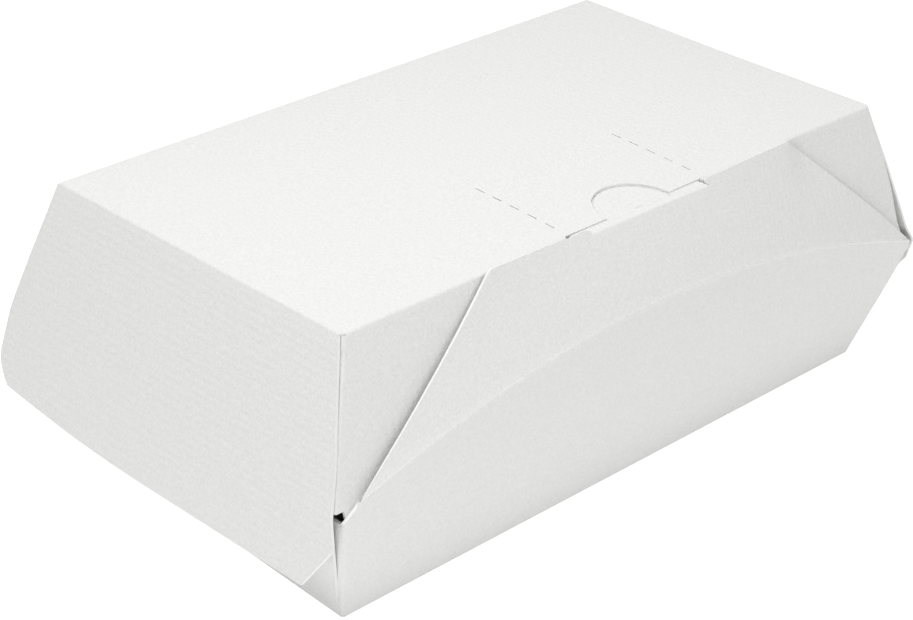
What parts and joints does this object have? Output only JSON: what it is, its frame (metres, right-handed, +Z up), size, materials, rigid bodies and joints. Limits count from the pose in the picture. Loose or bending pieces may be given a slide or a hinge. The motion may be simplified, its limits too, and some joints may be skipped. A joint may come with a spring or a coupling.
{
  "type": "takeaway box",
  "caption": "Clamshell takeaway box folded from white fine-fluted board, with sloping sides, a curved locking flap at the front and a perforated tear flap in the lid.",
  "frame": {"origin": "middle of the bottom panel, on the table", "axes": "+X along the box, -Y out of the front with the locking flap, +Z up"},
  "size_m": [0.2365, 0.1343, 0.0818],
  "materials": {
    "board": "matte"
  },
  "bodies": {
    "carton": {"carton": "board"},
    "tear_flap": {"tear_flap": "board"}
  },
  "joints": [
    {"name": "tear_flap_hinge", "type": "hinge", "parent": "carton", "child": "tear_flap", "pos_m": [0.0036, -0.02105, 0.0802], "axis": [-1, 0, 0], "range_deg": [0, 150]}
  ]
}
